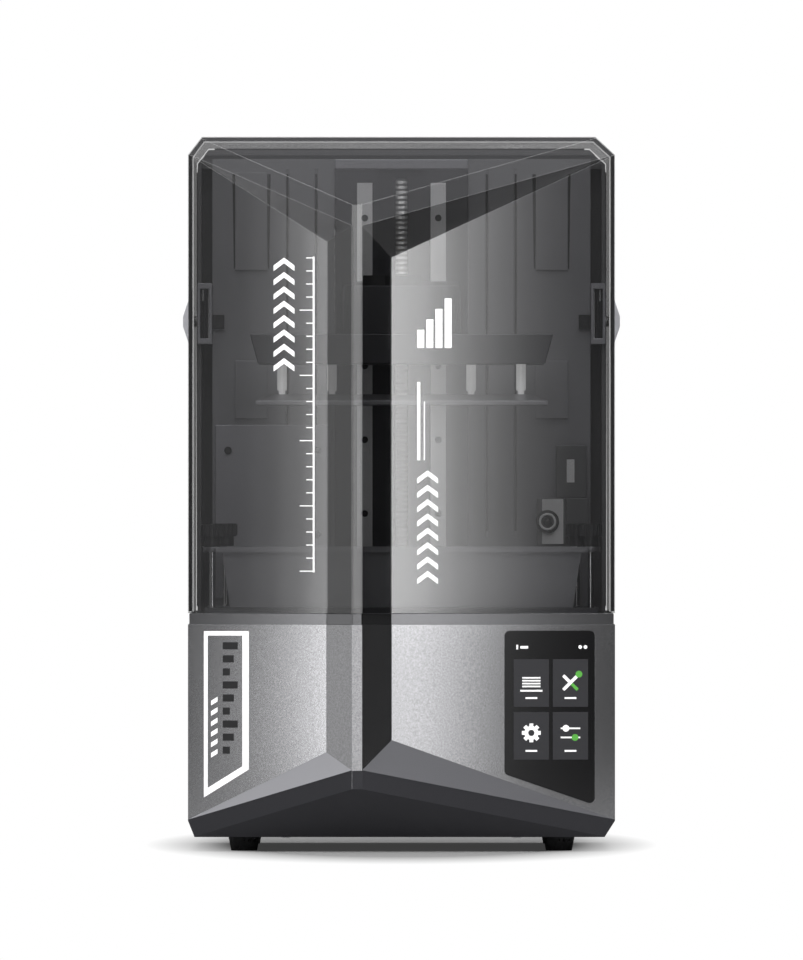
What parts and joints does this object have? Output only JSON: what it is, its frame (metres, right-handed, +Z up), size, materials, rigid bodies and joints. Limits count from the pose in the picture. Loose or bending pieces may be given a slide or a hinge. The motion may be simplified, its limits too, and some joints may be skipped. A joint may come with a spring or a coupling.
{
  "type": "resin printer",
  "caption": "Desktop resin 3D printer with a smoky faceted flip-up lid, a satin grey folded base with a touch panel, a vat and a lifting build platform on a screw-driven column.",
  "frame": {"origin": "On the floor, under the middle of the machine's width and depth", "axes": "+X to the right as seen from the front, -Y towards the front, +Z up"},
  "size_m": [0.342, 0.3292, 0.548],
  "materials": {
    "base_grey": "satin metallic",
    "belt_grey": "satin",
    "dark_steel": "satin",
    "rubber_black": "matte",
    "bright_steel": "satin",
    "screen_glass": "gloss",
    "clear_glass": "gloss",
    "black_plastic": "satin",
    "knob_black": "satin",
    "board_green": "satin",
    "dark_alu": "anodised",
    "vat_alu": "anodised",
    "plate_alu": "blasted",
    "housing_grey": "satin",
    "panel_grey": "satin",
    "cover_grey": "satin",
    "brass_nut": "satin",
    "smoke_lid": "gloss"
  },
  "bodies": {
    "base": {"back_panel": "panel_grey", "base_screws": "bright_steel", "base_shell": "base_grey", "bearing_block": "dark_alu", "bottom_plate": "dark_steel", "camera_arm": "black_plastic", "camera_housing": "black_plastic", "camera_lens": "black_plastic", "chamber_lamp": "cover_grey", "column_cap": "cover_grey", "cover_screws": "bright_steel", "deck_tray": "belt_grey", "fan_frame": "black_plastic", "field_lens": "clear_glass", "film_frame": "bright_steel", "hinge_boxes": "housing_grey", "hinge_dampers": "bright_steel", "hinge_links": "black_plastic", "left_rail": "bright_steel", "light_engine": "dark_alu", "light_hood": "black_plastic", "main_board": "board_green", "mask_screen": "screen_glass", "power_inlet": "black_plastic", "power_supply": "dark_alu", "rail_screws": "dark_steel", "rear_housing": "housing_grey", "release_film": "clear_glass", "right_rail": "bright_steel", "rubber_feet": "rubber_black", "service_cover": "cover_grey", "switch_case": "black_plastic", "touch_display": "black_plastic", "touch_panel": "screen_glass", "usb_port": "bright_steel", "vat_body": "vat_alu", "vat_posts": "bright_steel", "vat_stage": "dark_alu", "z_column": "dark_alu", "z_motor": "black_plastic"},
    "lid": {"lid_shell": "smoke_lid", "hinge_pins": "bright_steel", "hinge_caps": "black_plastic"},
    "carriage": {"rail_blocks": "bright_steel", "carriage_plate": "dark_alu", "lead_nut": "brass_nut", "lift_arm": "dark_alu", "platform_tray": "dark_alu", "level_posts": "bright_steel", "build_plate": "plate_alu"},
    "screw": {"lead_screw": "bright_steel", "motor_coupling": "vat_alu"},
    "clamp": {"clamp_lever": "black_plastic"},
    "fan": {"fan_rotor": "black_plastic"},
    "switch": {"power_switch": "black_plastic"},
    "knob_front_left": {"vat_knob_front_left": "knob_black"},
    "knob_front_right": {"vat_knob_front_right": "knob_black"},
    "knob_back_left": {"vat_knob_back_left": "knob_black"},
    "knob_back_right": {"vat_knob_back_right": "knob_black"}
  },
  "joints": [
    {"name": "lid_flip", "type": "hinge", "parent": "base", "child": "lid", "pos_m": [0, 0.118, 0.409], "axis": [-1, 0, 0], "range_deg": [0, 90]},
    {"name": "plate_lift", "type": "slide", "parent": "base", "child": "carriage", "axis": [0, 0, 1], "range_m": [-0.155, 0.065]},
    {"name": "screw_turn", "type": "hinge", "parent": "base", "child": "screw", "pos_m": [0, 0.09, 0.3], "axis": [0, 0, 1], "continuous": true},
    {"name": "clamp_turn", "type": "hinge", "parent": "carriage", "child": "clamp", "pos_m": [0, -0.02, 0.439], "axis": [0, 0, 1], "range_deg": [0, 90]},
    {"name": "fan_spin", "type": "hinge", "parent": "base", "child": "fan", "pos_m": [-0.09, 0.151, 0.09], "axis": [0, 1, 0], "continuous": true},
    {"name": "switch_rock", "type": "hinge", "parent": "base", "child": "switch", "pos_m": [0.062, 0.1591, 0.085], "axis": [1, 0, 0], "range_deg": [-8, 8]},
    {"name": "knob_front_left_turn", "type": "hinge", "parent": "base", "child": "knob_front_left", "pos_m": [-0.146, -0.06, 0.242], "axis": [0, 0, 1], "continuous": true},
    {"name": "knob_front_right_turn", "type": "hinge", "parent": "base", "child": "knob_front_right", "pos_m": [0.146, -0.06, 0.242], "axis": [0, 0, 1], "continuous": true},
    {"name": "knob_back_left_turn", "type": "hinge", "parent": "base", "child": "knob_back_left", "pos_m": [-0.1365, 0.056, 0.242], "axis": [0, 0, 1], "continuous": true},
    {"name": "knob_back_right_turn", "type": "hinge", "parent": "base", "child": "knob_back_right", "pos_m": [0.1365, 0.056, 0.242], "axis": [0, 0, 1], "continuous": true}
  ],
  "couplings": [
    {"joint": "screw_turn", "follows": "plate_lift", "rad_per_m": 1570.8}
  ]
}
